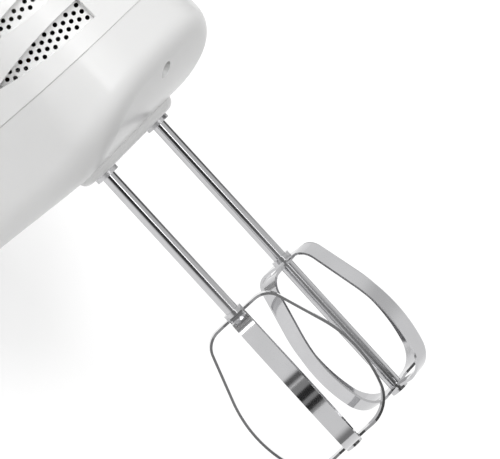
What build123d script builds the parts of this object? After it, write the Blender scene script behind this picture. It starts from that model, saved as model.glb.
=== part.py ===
from build123d import *
import math
import os

os.makedirs("parts", exist_ok=True)

# A hand mixer, in millimetres. It is drawn level, as it is held in use: X runs forward to the
# nose, Y to the left, Z up. The zero point lies midway between the two beaters, on the parting
# plane of the housing. Each finished piece is then stood on the heel, with the nose up.

# Housing
WALL = 2.6
NOSE_X = 54.0
NOSE_CROWN = 3.0
NOSE_ROUND = 31.0
HALF_WIDTH = 47.5
BEND_X = -5.0
BEND_ROUND = 260.0
HEEL_X = -135.0
HEEL_HALF = 27.0
HEEL_ROUND = 12.0
HEEL_SEAT_Z = -14.0
FLOOR_Z = -39.0
FLOOR_ROUND = 12.0
CHIN_X = 2.0
CHIN_R = 85.0
ROOF_Z = 46.0
ROOF_ROUND = 19.0
ROOF_TAPER = 9.0
PARTING_GAP = 0.5
SEAM_EDGE = 0.2

# Handle
HANDLE_WIDTH = 37.0
GRIP_HEIGHT = 23.0
FINGER_GAP = 31.0
PILLAR_FRONT = 26.0
PILLAR_LEAN = 6.0
FRONT_PILLAR = 46.0
REAR_PILLAR = 27.0
GRIP_ROUND = 10.0
GAP_ROUND = 11.0
TOP_ROUND = 14.0
HANDLE_WALL = 3.5
HANDLE_SINK = 20.0
GRIP_LOW_Z = ROOF_Z + FINGER_GAP
HANDLE_TOP = GRIP_LOW_Z + GRIP_HEIGHT
COVER_SPLIT_Z = GRIP_LOW_Z + GRIP_HEIGHT / 2

# Vents, seen square to the nose corner: how far each runs to the rear tip and to the blunt front
# end, and the levels of its lower and upper edge
VENT_YAW = 45.0
VENTS = [
    (-25.0, 24.5, 7.6, 17.6),
    (-19.0, 21.5, 24.6, 33.6),
]
VENT_SLOPE = 4.0
VENT_OUTER = 62.0
VENT_INNER = 34.0
VENT_TIP_SHARE = 0.45
VENT_EDGE_SHARE = 0.12
VENT_BULGE = 0.4
GRILLE_THICK = 1.4
GRILLE_MARGIN = 2.5
GRILLE_BRIDGE = 20.0
GRILLE_REACH = 30.0
VENT_SWELL = 1.6
HOLE_D = 1.9
HOLE_PITCH = 3.3
HOLE_EDGE = 1.7

# Beater sockets under the nose
BEATER_SPACING = 41.0
PAD_DROP = 42.3
PAD_RADIUS = 11.2
PAD_ROUND = 4.0
SPINDLE_D = 10.8
SPINDLE_PROUD = 2.0
SPINDLE_TOP = 11.5
SOCKET_RIM = 1.2
BUSH_WALL = 2.4
BUSH_SEAT_Z = -38.0
BUSH_TOP_Z = -10.0
BUSH_FLANGE = 2.0
TOWER_WALL = 2.4
RUN_FIT = 0.05
SOFT_FIT = 0.3

# Worm drive
WORM_PITCH_R = 4.6
WORM_LENGTH = 22.0
WORM_STARTS = 2
WHEEL_TEETH = 26
WHEEL_FACE = 6.0
WHEEL_HUB_D = 16.0
TOOTH_PLAY = 0.4
PRESSURE_ANGLE = 20.0
MOTOR_SHAFT_D = 6.0
WHEEL_R = BEATER_SPACING / 2 - WORM_PITCH_R
MODULE = 2 * WHEEL_R / WHEEL_TEETH
ADDENDUM = 0.7 * MODULE
WHEEL_TIP = 0.6 * MODULE
DEDENDUM = 1.05 * MODULE
AXIAL_PITCH = math.pi * MODULE
WORM_LEAD = AXIAL_PITCH * WORM_STARTS

# Beaters
SHAFT_D = 6.0
SHAFT_PLAY = 0.1
SHAFT_SEATED = 32.0
SHAFT_EXPOSED = 78.3
LOOP_LENGTH = 71.5
SHOULDER_R = 16.6
SHOULDER_ROUND = 9.0
BELLY_R = 31.1
BELLY_DROP = 43.0
BELLY_ROUND = 56.0
FOOT_R = 21.8
FOOT_ROUND = 15.0
STRIP_WIDTH = 7.6
STRIP_THICK = 1.1
EYE_D = 10.0
NECK_WIDTH = 5.4
NECK_R = 7.0
SPREAD_R = 13.0
LUG_LIFT = 2.0
HUB_D = 8.6
HUB_HEIGHT = 2.0
RIVET_D = 8.0
RIVET_HEIGHT = 1.4
LUG_WIDTH = 9.6
LUG_THICK = 1.4
LUG_HEIGHT = 5.0
RIGHT_PHASE = 45.0
LEFT_PHASE = 0.0

# Eject gear
EJECT_TRAVEL = 7.0
FORK_Z = 21.0
FORK_THICK = 3.0
FORK_WIDTH = 11.0
STEM_X = 9.0
STEM_Y = 5.0
BUTTON_X = 24.0
BUTTON_CENTRE_X = -6.0
BUTTON_Y = 19.0
BUTTON_RISE = 9.0
BUTTON_FLANGE = 2.0
BUTTON_LIP = 2.0
BUTTON_LIP_Y = 15.0
BUTTON_ROUND = 4.0
WEB_Z = 60.0
WEB_THICK = 3.0
COLLAR_D = 18.0
COLLAR_THICK = 2.0
PILLAR_HOLLOW_X = 26.0
PILLAR_HOLLOW_Y = 22.0
SPRING_R = 7.6
SPRING_WIRE = 1.2
SPRING_TURNS = 6
SPRING_LENGTH = 19.0
PIN_D = 5.4
PIN_HEAD_D = 9.0
PIN_HEAD = 2.0

# Speed control
SLIDER_X = -50.0
SLIDER_TRAVEL = 18.0
SLIDER_ROUND = 2.0
SLIDER_LENGTH = 20.0
SLIDER_WIDTH = 17.0
SLIDER_RISE = 5.0
SLIDER_STEM_LENGTH = 8.0
SLIDER_STEM_WIDTH = 5.0
SWITCH_LENGTH = 40.0
SWITCH_WIDTH = 16.0
SWITCH_HEIGHT = 8.0

# Motor
CORE_LENGTH = 28.0
CORE_SEAT_SHARE = 0.6
CORE_X = -48.0
CORE_WIDTH = 56.0
CORE_HEIGHT = 50.0
CORE_ROUND = 10.0
SLOT_WIDTH = 2.2
SLOT_DEPTH = 6.0
SHAFT_TAIL = 2.0
AIR_GAP = 0.7
ARMATURE_D = 32.0
SLOTS = 12
COIL_DEPTH = 5.0
COIL_HEIGHT = 7.0
COIL_GAP = 0.6
COIL_FIT = 0.4
END_TURN = 7.0
COMMUTATOR_X = -79.0
COMMUTATOR_LENGTH = 11.0
COMMUTATOR_D = 18.0
BRUSH_SIZE = 6.0
BRUSH_LENGTH = 11.0
HOLDER_WALL = 1.2
HOLDER_LENGTH = 13.0
HOLDER_Y = 18.0
BEARING_D = 13.0
BEARING_LENGTH = 6.0
FRONT_BEARING_X = 22.0
REAR_BEARING_X = -96.0
BRACKET_WIDTH = 24.0
BRACKET_HEIGHT = 20.0
FAN_X = 31.0
FAN_D = 42.0
FAN_DEPTH = 7.0
FAN_DISC = 1.4
FAN_BLADES = 9
FAN_BLADE = 1.2
FAN_HUB_D = 12.0

# Gear frame over the worm wheels
FRAME_Z = 7.0
FRAME_THICK = 3.0
FRAME_WIDTH = 22.0
FRAME_LEG = 3.0
FRAME_FOOT_Z = -8.0
FRAME_CLEAR = 0.8

# Screws and cord inlet
SCREW_D = 3.0
SCREW_HEAD_D = 6.0
SCREW_HEAD = 2.2
SCREW_LENGTH = 16.0
SCREW_BORE = 6.6
POST_D = 9.0
POST_JOINT_Z = -6.0
SCREW_GRIP = 4.0
SCREW_PLACES = [(44.5, 0.0), (-112.0, 15.0), (-112.0, -15.0)]
GLAND_X = -110.0
GLAND_BORE = 7.0
GLAND_D = 12.0
GLAND_LENGTH = 12.0
GLAND_FLANGE_D = 15.0
GLAND_FLANGE = 2.0

HALF_SPACING = BEATER_SPACING / 2
SIDES = {"left": HALF_SPACING, "right": -HALF_SPACING}
PHASES = {"left": LEFT_PHASE, "right": RIGHT_PHASE}
HUB_Z = -PAD_DROP - SHAFT_EXPOSED
SHAFT_TOP_Z = SHAFT_SEATED - PAD_DROP
SOCKET_BORE = SHAFT_D + 2 * SHAFT_PLAY
STOOD = Location((HEEL_SEAT_Z, 0, -HEEL_X), (0, -90, 0))


def save(piece, name):
    """Stand a finished piece on the heel and write it."""
    stood = piece.moved(STOOD)
    stood.label = name
    export_step(stood, f"parts/{name}.step")


def plan_view(inset):
    """Plan of the body: crowned nose with full corners, sides that draw in to the heel."""
    crown_x = NOSE_X - NOSE_CROWN
    with BuildSketch() as plan:
        with BuildLine():
            ThreePointArc((crown_x, -HALF_WIDTH), (NOSE_X, 0), (crown_x, HALF_WIDTH))
            Polyline(
                (crown_x, HALF_WIDTH),
                (BEND_X, HALF_WIDTH),
                (HEEL_X, HEEL_HALF),
                (HEEL_X, -HEEL_HALF),
                (BEND_X, -HALF_WIDTH),
                (crown_x, -HALF_WIDTH),
            )
        make_face()
        fillet(plan.vertices().sort_by(Axis.X)[-2:], NOSE_ROUND)
        fillet(plan.vertices().sort_by(Axis.X)[:2], HEEL_ROUND)
        bends = plan.vertices().filter_by(lambda corner: abs(corner.X - BEND_X) < SEAM_EDGE)
        fillet(bends, BEND_ROUND)
        if inset > 0:
            offset(amount=-inset)
    return plan.sketch


def lower_form(inset):
    """Body below the parting plane: flat floor that sweeps up to a chin under the nose."""
    floor = FLOOR_Z + inset
    sweep_r = CHIN_R - inset
    run = NOSE_X + NOSE_CROWN - CHIN_X
    rise = sweep_r - math.sqrt(sweep_r**2 - run**2)
    half_rise = sweep_r - math.sqrt(sweep_r**2 - run**2 / 4)
    end_x = CHIN_X + run
    with BuildPart() as form:
        add(plan_view(inset))
        extrude(amount=-floor, dir=(0, 0, -1))
        with BuildSketch(Plane.XZ):
            with BuildLine():
                Polyline((CHIN_X, floor), (CHIN_X, 2 * floor), (end_x, 2 * floor), (end_x, floor + rise))
                ThreePointArc(
                    (end_x, floor + rise), (CHIN_X + run / 2, floor + half_rise), (CHIN_X, floor)
                )
            make_face()
        extrude(amount=2 * HALF_WIDTH, both=True, mode=Mode.SUBTRACT)
        under = form.faces().filter_by(lambda face: face.normal_at(face.center()).Z < -0.5)
        rim = under.edges().filter_by(
            lambda edge: abs(edge.center().Y) > SEAM_EDGE or edge.center().X > NOSE_X / 2
        )
        heel_rim = under.edges().sort_by(Axis.X)[:1]
        fillet(rim + heel_rim, FLOOR_ROUND - inset)
    return form.part


def upper_form(inset):
    """Body above the parting plane: sides lean in to a broadly rounded roof."""
    with BuildPart() as form:
        add(plan_view(inset))
        extrude(amount=ROOF_Z - inset, taper=ROOF_TAPER)
        fillet(form.faces().sort_by(Axis.Z)[-1].edges(), ROOF_ROUND - inset)
    return form.part


def shell(form):
    """Hollow half of the body."""
    with BuildPart() as hollow:
        add(form(0))
        add(form(WALL), mode=Mode.SUBTRACT)
    return hollow.part


def handle_arch():
    """Handle with its two pillars, drawn from the side and rounded along every long edge."""
    gap_front = PILLAR_FRONT - FRONT_PILLAR
    gap_rear = HEEL_X + REAR_PILLAR
    base = ROOF_Z - HANDLE_SINK
    with BuildPart() as arch:
        with BuildSketch(Plane.XZ) as side_view:
            with BuildLine():
                Polyline(
                    (PILLAR_FRONT, base),
                    (PILLAR_FRONT - PILLAR_LEAN, HANDLE_TOP),
                    (HEEL_X, HANDLE_TOP),
                    (HEEL_X, base),
                    close=True,
                )
            make_face()
            fillet(side_view.vertices().group_by(Axis.Y)[-1], TOP_ROUND)
        extrude(amount=HANDLE_WIDTH / 2, both=True)
        with BuildSketch(Plane.XZ) as gap_view:
            with BuildLine():
                Polyline(
                    (gap_front, base),
                    (gap_front - PILLAR_LEAN / 2, GRIP_LOW_Z),
                    (gap_rear, GRIP_LOW_Z),
                    (gap_rear, base),
                    close=True,
                )
            make_face()
            fillet(gap_view.vertices().group_by(Axis.Y)[-1], GAP_ROUND)
        extrude(amount=HANDLE_WIDTH, both=True, mode=Mode.SUBTRACT)
        cheeks = arch.faces().filter_by(Axis.Y)
        long_edges = cheeks.edges().filter_by(lambda edge: edge.center().Z > base + SEAM_EDGE)
        fillet(long_edges, GRIP_ROUND)
        add(upper_form(0), mode=Mode.SUBTRACT)
    return arch.part


def lens(reach_rear, reach_front, low, high, depth, slope):
    """Vent outline on an upright plane square to the nose corner, drawn in by the slope."""
    yaw = math.radians(VENT_YAW)
    across = Vector(math.sin(yaw), math.cos(yaw), 0)
    outward = Vector(math.cos(yaw), -math.sin(yaw), 0)
    plane = Plane(origin=outward * depth, x_dir=across, z_dir=outward)
    tip = (reach_rear, low + VENT_TIP_SHARE * (high - low))
    top = (reach_front - slope, high - slope * VENT_EDGE_SHARE)
    bottom = (reach_front - slope, low + slope * VENT_EDGE_SHARE)
    bulge = VENT_BULGE * (reach_front - reach_rear)
    with BuildSketch(plane) as sketch:
        with BuildLine():
            Bezier(tip, (tip[0] + bulge, top[1]), top)
            Line(top, bottom)
            Bezier(bottom, (tip[0] + bulge, bottom[1]), tip)
        make_face()
    return sketch.sketch


def vent_cutter(vent):
    """Funnel that opens one vent through the wall, wider outside than inside."""
    with BuildPart() as cutter:
        add(lens(*vent, VENT_OUTER, -VENT_SLOPE))
        add(lens(*vent, VENT_INNER, VENT_SLOPE))
        loft(ruled=True)
    return cutter.part


def upright(x, y, low, high, diameter):
    """Round post between two levels."""
    with BuildPart() as post:
        with BuildSketch(Plane.XY.offset(low)):
            with Locations((x, y)):
                Circle(diameter / 2)
        extrude(amount=high - low)
    return post.part


def block(x, y, z):
    """Box from three pairs of limits."""
    with BuildPart() as box:
        with BuildSketch(Plane.XY.offset(z[0])):
            with Locations(((x[0] + x[1]) / 2, (y[0] + y[1]) / 2)):
                Rectangle(x[1] - x[0], y[1] - y[0])
        extrude(amount=z[1] - z[0])
    return box.part


def along(x, diameter, plane_y=0.0, plane_z=0.0):
    """Round bar along X between two limits."""
    with BuildPart() as bar:
        with BuildSketch(Plane(origin=(x[0], plane_y, plane_z), x_dir=(0, 1, 0), z_dir=(1, 0, 0))):
            Circle(diameter / 2)
        extrude(amount=x[1] - x[0])
    return bar.part


# Lower housing: shell, socket pad, bush towers, screw posts and the ribs that carry the motor
BUSH_D = SPINDLE_D + 2 * (RUN_FIT + BUSH_WALL)
TOWER_D = BUSH_D + 2 * TOWER_WALL
SEAM_LOW = -PARTING_GAP / 2
SEAM_HIGH = PARTING_GAP / 2
BRACKET_FOOT_Z = -BRACKET_HEIGHT / 2
HOLDER_SIZE = BRUSH_SIZE + 2 * HOLDER_WALL
CORE_FOOT_Z = -CORE_HEIGHT / 2
FRAME_LEG_Y = HALF_SPACING + WHEEL_R + ADDENDUM + FRAME_CLEAR
RIB_SPOTS = [
    (FRONT_BEARING_X, 0.0, BEARING_LENGTH, BRACKET_WIDTH, BRACKET_FOOT_Z),
    (REAR_BEARING_X, 0.0, BEARING_LENGTH, BRACKET_WIDTH, BRACKET_FOOT_Z),
    (CORE_X, 0.0, CORE_LENGTH * CORE_SEAT_SHARE, CORE_WIDTH, CORE_FOOT_Z),
]
for side in (1, -1):
    RIB_SPOTS.append((COMMUTATOR_X, side * HOLDER_Y, HOLDER_SIZE, HOLDER_LENGTH, -HOLDER_SIZE / 2))
    RIB_SPOTS.append((0.0, side * (FRAME_LEG_Y + FRAME_LEG / 2), FRAME_WIDTH, FRAME_LEG, FRAME_FOOT_Z))

with BuildPart() as inner_works:
    for x, y, length, width, top in RIB_SPOTS:
        add(block((x - length / 2, x + length / 2), (y - width / 2, y + width / 2), (FLOOR_Z, top)))
    for x, y in SCREW_PLACES:
        add(upright(x, y, FLOOR_Z, POST_JOINT_Z, POST_D))
    for y in SIDES.values():
        add(upright(0, y, FLOOR_Z, BUSH_TOP_Z - BUSH_FLANGE, TOWER_D))
    add(lower_form(0), mode=Mode.INTERSECT)

with BuildPart() as socket_pad:
    with BuildSketch(Plane.XY.offset(-PAD_DROP)):
        SlotCenterToCenter(BEATER_SPACING, 2 * PAD_RADIUS, rotation=90)
    extrude(amount=PAD_DROP + FLOOR_Z + PAD_ROUND)
    fillet(socket_pad.faces().sort_by(Axis.Z)[0].edges(), PAD_ROUND)

with BuildPart() as lower_housing:
    add(shell(lower_form))
    add(inner_works.part)
    add(socket_pad.part)
    for y in SIDES.values():
        with Locations((0, y)):
            socket_d = SPINDLE_D + 2 * SOCKET_RIM
            add(upright(0, 0, -PAD_DROP, BUSH_TOP_Z, socket_d), mode=Mode.SUBTRACT)
            add(upright(0, 0, BUSH_SEAT_Z, BUSH_TOP_Z, BUSH_D), mode=Mode.SUBTRACT)
    for x, y in SCREW_PLACES:
        add(upright(x, y, FLOOR_Z - WALL, POST_JOINT_Z - SCREW_GRIP, SCREW_BORE), mode=Mode.SUBTRACT)
        add(upright(x, y, FLOOR_Z, POST_JOINT_Z, SCREW_D + 2 * SOFT_FIT), mode=Mode.SUBTRACT)
    split(bisect_by=Plane.XY.offset(SEAM_LOW), keep=Keep.BOTTOM)
save(lower_housing.part, "lower_housing")

# Upper housing: shell with the vent windows and the posts that take the screws
with BuildPart() as upper_works:
    for x, y in SCREW_PLACES:
        add(upright(x, y, SEAM_HIGH, ROOF_Z, POST_D))
    add(upper_form(0), mode=Mode.INTERSECT)

with BuildPart() as upper_housing:
    add(shell(upper_form))
    for vent in VENTS:
        cutter = vent_cutter(vent)
        add(cutter, mode=Mode.SUBTRACT)
        add(mirror(cutter, about=Plane.XZ, mode=Mode.PRIVATE), mode=Mode.SUBTRACT)
    split(bisect_by=Plane.XY.offset(SEAM_HIGH), keep=Keep.TOP)
    add(upper_works.part)
    for x, y in SCREW_PLACES:
        add(upright(x, y, POST_JOINT_Z, SEAM_HIGH, POST_D))
        add(upright(x, y, POST_JOINT_Z, POST_JOINT_Z + SCREW_LENGTH, SCREW_D), mode=Mode.SUBTRACT)
    stem_hole = (STEM_X / 2 + SOFT_FIT, STEM_Y / 2 + SOFT_FIT)
    hole_x = (-stem_hole[0], stem_hole[0])
    hole_y = (-stem_hole[1], stem_hole[1])
    add(block(hole_x, hole_y, (ROOF_Z - 2 * WALL, ROOF_Z)), mode=Mode.SUBTRACT)
save(upper_housing.part, "upper_housing")

# Vent grilles: thin curved panels behind the windows, pierced in a honeycomb pattern
yaw = math.radians(VENT_YAW)
across = Vector(math.sin(yaw), math.cos(yaw), 0)
outward = Vector(math.cos(yaw), -math.sin(yaw), 0)


def grille_holes(vent):
    """Places of the holes of one vent, on lines that fan out from the nose corner's axis."""
    rear, front, low, high = vent
    spots = []
    step = math.sqrt(3) / 2 * HOLE_PITCH
    columns = int((front - rear) / step)
    for column in range(columns):
        reach = rear + (column + 0.5) * step
        share = (reach - rear) / (front - rear)
        swell = min(1.0, math.sqrt(share) * VENT_SWELL)
        middle = low + (high - low) * (VENT_TIP_SHARE + (0.5 - VENT_TIP_SHARE) * swell)
        room = (high - low) / 2 * swell - HOLE_EDGE
        shift = HOLE_PITCH / 2 if column % 2 else 0.0
        rows = range(-3, 4)
        spots += [
            (reach, middle + row * HOLE_PITCH + shift)
            for row in rows
            if abs(row * HOLE_PITCH + shift) <= room
        ]
    return spots


with BuildPart() as right_grille:
    add(upper_form(WALL))
    add(upper_form(WALL + GRILLE_THICK), mode=Mode.SUBTRACT)
    window = Plane(origin=outward * VENT_INNER, x_dir=across, z_dir=outward)
    with BuildSketch(window):
        for rear, front, low, high in VENTS:
            with Locations(((rear + front) / 2, (low + high) / 2)):
                Rectangle(front - rear + 2 * GRILLE_MARGIN, high - low + 2 * GRILLE_MARGIN)
        with Locations((0, (VENTS[0][3] + VENTS[1][2]) / 2)):
            Rectangle(GRILLE_BRIDGE, VENTS[1][2] - VENTS[0][3])
    extrude(amount=-GRILLE_REACH, both=True, mode=Mode.INTERSECT)
    drills = []
    for vent in VENTS:
        for reach, level in grille_holes(vent):
            spot = across * reach + Vector(0, 0, level)
            drills.append(Location(Plane(origin=spot + outward * VENT_INNER, z_dir=outward)))
    with Locations(*drills):
        Cylinder(HOLE_D / 2, 2 * GRILLE_REACH, mode=Mode.SUBTRACT)
save(right_grille.part, "right_vent_grille")
save(right_grille.part.mirror(Plane.XZ), "left_vent_grille")

# Handle: hollow arch in two mouldings, a lower one with both pillars and a cover along the top
GRIP_MIDDLE_Z = GRIP_LOW_Z + GRIP_HEIGHT / 2
CHANNEL_LOW_Z = GRIP_LOW_Z + HANDLE_WALL
CHANNEL_TOP_Z = HANDLE_TOP - HANDLE_WALL
CHANNEL_REAR = HEEL_X + TOP_ROUND
CHANNEL_FRONT = PILLAR_FRONT - PILLAR_LEAN - HANDLE_WALL - GRIP_ROUND / 2
stem_x = (-STEM_X / 2 - SOFT_FIT, STEM_X / 2 + SOFT_FIT)
stem_y = (-STEM_Y / 2 - SOFT_FIT, STEM_Y / 2 + SOFT_FIT)
pillar_x = (-PILLAR_HOLLOW_X / 2, PILLAR_HOLLOW_X / 2)
pillar_y = (-PILLAR_HOLLOW_Y / 2, PILLAR_HOLLOW_Y / 2)
slot_half = SLIDER_STEM_WIDTH / 2 + SOFT_FIT
slot_x = (
    SLIDER_X - SLIDER_STEM_LENGTH / 2 - SOFT_FIT,
    SLIDER_X + SLIDER_TRAVEL + SLIDER_STEM_LENGTH / 2 + SOFT_FIT,
)
button_rear = BUTTON_CENTRE_X - BUTTON_X / 2
button_front = BUTTON_CENTRE_X + BUTTON_X / 2

with BuildPart() as hollow_handle:
    add(handle_arch())
    with BuildSketch(Plane.YZ.offset(CHANNEL_REAR)):
        with Locations((0, GRIP_MIDDLE_Z)):
            RectangleRounded(
                HANDLE_WIDTH - 2 * HANDLE_WALL, GRIP_HEIGHT - 2 * HANDLE_WALL, GRIP_ROUND - HANDLE_WALL
            )
    extrude(amount=CHANNEL_FRONT - CHANNEL_REAR, mode=Mode.SUBTRACT)
    add(block(pillar_x, pillar_y, (ROOF_Z, WEB_Z)), mode=Mode.SUBTRACT)
    add(block(pillar_x, pillar_y, (WEB_Z + WEB_THICK, GRIP_MIDDLE_Z)), mode=Mode.SUBTRACT)
    add(block(stem_x, stem_y, (WEB_Z, WEB_Z + WEB_THICK)), mode=Mode.SUBTRACT)
    with BuildSketch(Plane.XY.offset(GRIP_MIDDLE_Z)):
        with Locations((BUTTON_CENTRE_X, 0)):
            RectangleRounded(BUTTON_X + 2 * SOFT_FIT, BUTTON_Y + 2 * SOFT_FIT, BUTTON_ROUND + SOFT_FIT)
    extrude(amount=GRIP_HEIGHT, mode=Mode.SUBTRACT)
    add(block(slot_x, (-slot_half, slot_half), (GRIP_MIDDLE_Z, HANDLE_TOP)), mode=Mode.SUBTRACT)
    add(upright(GLAND_X, 0, GRIP_MIDDLE_Z, HANDLE_TOP, GLAND_D), mode=Mode.SUBTRACT)

with BuildPart() as handle:
    add(hollow_handle.part)
    split(bisect_by=Plane.XY.offset(COVER_SPLIT_Z), keep=Keep.BOTTOM)
save(handle.part, "handle")

with BuildPart() as handle_cover:
    add(hollow_handle.part)
    split(bisect_by=Plane.XY.offset(COVER_SPLIT_Z), keep=Keep.TOP)
save(handle_cover.part, "handle_cover")

# Eject button, its fork over both ejector pins, and the return spring round the stem
LIP_TOP_Z = CHANNEL_TOP_Z - SOFT_FIT
LIP_LOW_Z = LIP_TOP_Z - BUTTON_FLANGE
COLLAR_Z = WEB_Z + WEB_THICK + SPRING_LENGTH

with BuildPart() as eject_button:
    with BuildSketch(Plane.XY.offset(LIP_LOW_Z)):
        with Locations((BUTTON_CENTRE_X, 0)):
            RectangleRounded(BUTTON_X, BUTTON_Y - 2 * BUTTON_LIP, BUTTON_ROUND)
            RectangleRounded(BUTTON_X + 2 * BUTTON_LIP, BUTTON_LIP_Y, BUTTON_ROUND)
    extrude(amount=BUTTON_FLANGE)
    with BuildSketch(Plane.XY.offset(LIP_TOP_Z)):
        with Locations((BUTTON_CENTRE_X, 0)):
            RectangleRounded(BUTTON_X, BUTTON_Y - 2 * BUTTON_LIP, BUTTON_ROUND)
    extrude(amount=HANDLE_TOP - LIP_TOP_Z)
    with BuildSketch(Plane.XY.offset(CHANNEL_TOP_Z)):
        with Locations((BUTTON_CENTRE_X, 0)):
            RectangleRounded(BUTTON_X, BUTTON_Y, BUTTON_ROUND)
    extrude(amount=HANDLE_TOP + BUTTON_RISE - CHANNEL_TOP_Z)
    fillet(eject_button.faces().sort_by(Axis.Z)[-1].edges(), BUTTON_ROUND / 2)
save(eject_button.part, "eject_button")

with BuildPart() as ejector_fork:
    fork_half = HALF_SPACING + PIN_HEAD_D / 2
    add(
        block(
            (-FORK_WIDTH / 2, FORK_WIDTH / 2), (-fork_half, fork_half), (FORK_Z, FORK_Z + FORK_THICK)
        )
    )
    fillet(ejector_fork.edges().filter_by(Axis.Z), FORK_WIDTH / 3)
    add(block((-STEM_X / 2, STEM_X / 2), (-STEM_Y / 2, STEM_Y / 2), (FORK_Z, LIP_LOW_Z)))
    add(upright(0, 0, COLLAR_Z, COLLAR_Z + COLLAR_THICK, COLLAR_D))
save(ejector_fork.part, "ejector_fork")

with BuildPart() as eject_spring:
    coil_height = SPRING_LENGTH - SPRING_WIRE - 2 * SOFT_FIT
    coil_low = WEB_Z + WEB_THICK + SPRING_WIRE / 2 + SOFT_FIT
    with BuildLine() as coil:
        Helix(coil_height / SPRING_TURNS, coil_height, SPRING_R, center=(0, 0, coil_low))
    with BuildSketch(Plane(origin=coil.line @ 0, z_dir=coil.line % 0)):
        Circle(SPRING_WIRE / 2)
    sweep(path=coil.line, is_frenet=True)
save(eject_spring.part, "eject_spring")

# Speed slider on the cover, and the switch under it
with BuildPart() as speed_slider:
    with BuildSketch(Plane.XY.offset(HANDLE_TOP + SOFT_FIT)):
        with Locations((SLIDER_X, 0)):
            RectangleRounded(SLIDER_LENGTH, SLIDER_WIDTH, SLIDER_ROUND * 2)
    extrude(amount=SLIDER_RISE)
    fillet(speed_slider.faces().sort_by(Axis.Z)[-1].edges(), SLIDER_ROUND)
    stem_low = CHANNEL_LOW_Z + SWITCH_HEIGHT + SOFT_FIT
    with BuildSketch(Plane.XY.offset(stem_low)):
        with Locations((SLIDER_X, 0)):
            Rectangle(SLIDER_STEM_LENGTH, SLIDER_STEM_WIDTH)
    extrude(amount=HANDLE_TOP + SOFT_FIT - stem_low)
save(speed_slider.part, "speed_slider")

with BuildPart() as speed_switch:
    switch_x = SLIDER_X + SLIDER_TRAVEL / 2
    with BuildSketch(Plane.XY.offset(CHANNEL_LOW_Z)):
        with Locations((switch_x, 0)):
            Rectangle(SWITCH_LENGTH, SWITCH_WIDTH)
    extrude(amount=SWITCH_HEIGHT)
    chamfer(speed_switch.edges().filter_by(Axis.Z), 1.0)
save(speed_switch.part, "speed_switch")

# Cord inlet on the rear of the cover
with BuildPart() as cord_inlet:
    add(upright(GLAND_X, 0, HANDLE_TOP - GLAND_LENGTH, HANDLE_TOP, GLAND_D))
    add(upright(GLAND_X, 0, HANDLE_TOP, HANDLE_TOP + GLAND_FLANGE, GLAND_FLANGE_D))
    fillet(cord_inlet.faces().sort_by(Axis.Z)[-1].edges(), GLAND_FLANGE / 2)
    bore = upright(GLAND_X, 0, HANDLE_TOP - GLAND_LENGTH, HANDLE_TOP + GLAND_FLANGE, GLAND_BORE)
    add(bore, mode=Mode.SUBTRACT)
save(cord_inlet.part, "cord_inlet")

# Screws that hold the two halves of the body
with BuildPart() as housing_screws:
    seat_z = POST_JOINT_Z - SCREW_GRIP
    for x, y in SCREW_PLACES:
        add(upright(x, y, seat_z - SCREW_HEAD, seat_z, SCREW_HEAD_D))
        add(upright(x, y, seat_z, seat_z + SCREW_LENGTH, SCREW_D))
save(housing_screws.part, "housing_screws")


def tooth_ring(turn):
    """Outline of a worm wheel, turned a little: each tooth is four corners."""
    corners = []
    half_pitch = AXIAL_PITCH / 4 - TOOTH_PLAY / 2
    lean = math.tan(math.radians(PRESSURE_ANGLE))
    for tooth in range(WHEEL_TEETH):
        middle = 360 / WHEEL_TEETH * (tooth + 0.5) + turn
        for reach, sign in ((-DEDENDUM, -1), (WHEEL_TIP, -1), (WHEEL_TIP, 1), (-DEDENDUM, 1)):
            radius = WHEEL_R + reach
            angle = math.radians(middle + sign * math.degrees((half_pitch - reach * lean) / WHEEL_R))
            corners.append((radius * math.cos(angle), radius * math.sin(angle)))
    return corners


def worm_wheel(y, facing):
    """Worm wheel on its spindle; a tooth gap faces the worm."""
    twist = math.degrees(WHEEL_FACE / 2 * WORM_LEAD / (2 * math.pi * WORM_PITCH_R) / WHEEL_R)
    with BuildPart() as wheel:
        for level, turn in ((-WHEEL_FACE / 2, -twist), (WHEEL_FACE / 2, twist)):
            with BuildSketch(Plane.XY.offset(level)):
                with Locations((0, y)):
                    Polygon(*tooth_ring(facing + turn), align=None)
        loft(ruled=True)
        add(upright(0, y, BUSH_TOP_Z + SOFT_FIT, 0, WHEEL_HUB_D))
        add(upright(0, y, BUSH_TOP_Z, WHEEL_FACE, SPINDLE_D), mode=Mode.SUBTRACT)
    return wheel.part


def spindle(y, phase):
    """Hollow spindle with a slotted lower end that drives the beater's lugs."""
    low = -PAD_DROP - SPINDLE_PROUD
    slot_top = -PAD_DROP + LUG_LIFT + LUG_HEIGHT + SOFT_FIT
    with BuildPart() as tube:
        add(upright(0, y, low, SPINDLE_TOP, SPINDLE_D))
        add(upright(0, y, low, SPINDLE_TOP, SOCKET_BORE), mode=Mode.SUBTRACT)
        with BuildSketch(Plane(origin=(0, y, low), x_dir=phase_direction(phase), z_dir=(0, 0, 1))):
            Rectangle(2 * SPINDLE_D, LUG_THICK + 2 * SOFT_FIT)
        extrude(amount=slot_top - low, mode=Mode.SUBTRACT)
    return tube.part


def phase_direction(phase):
    """Level direction of a beater's loop."""
    return (math.cos(math.radians(phase)), math.sin(math.radians(phase)), 0)


def bush(y):
    """Plain bearing of one spindle, with a flange on the tower."""
    with BuildPart() as sleeve:
        add(upright(0, y, BUSH_SEAT_Z, BUSH_TOP_Z, BUSH_D))
        add(upright(0, y, BUSH_TOP_Z - BUSH_FLANGE, BUSH_TOP_Z, TOWER_D))
        bore = upright(0, y, BUSH_SEAT_Z, BUSH_TOP_Z, SPINDLE_D + 2 * RUN_FIT)
        add(bore, mode=Mode.SUBTRACT)
    return sleeve.part


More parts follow.
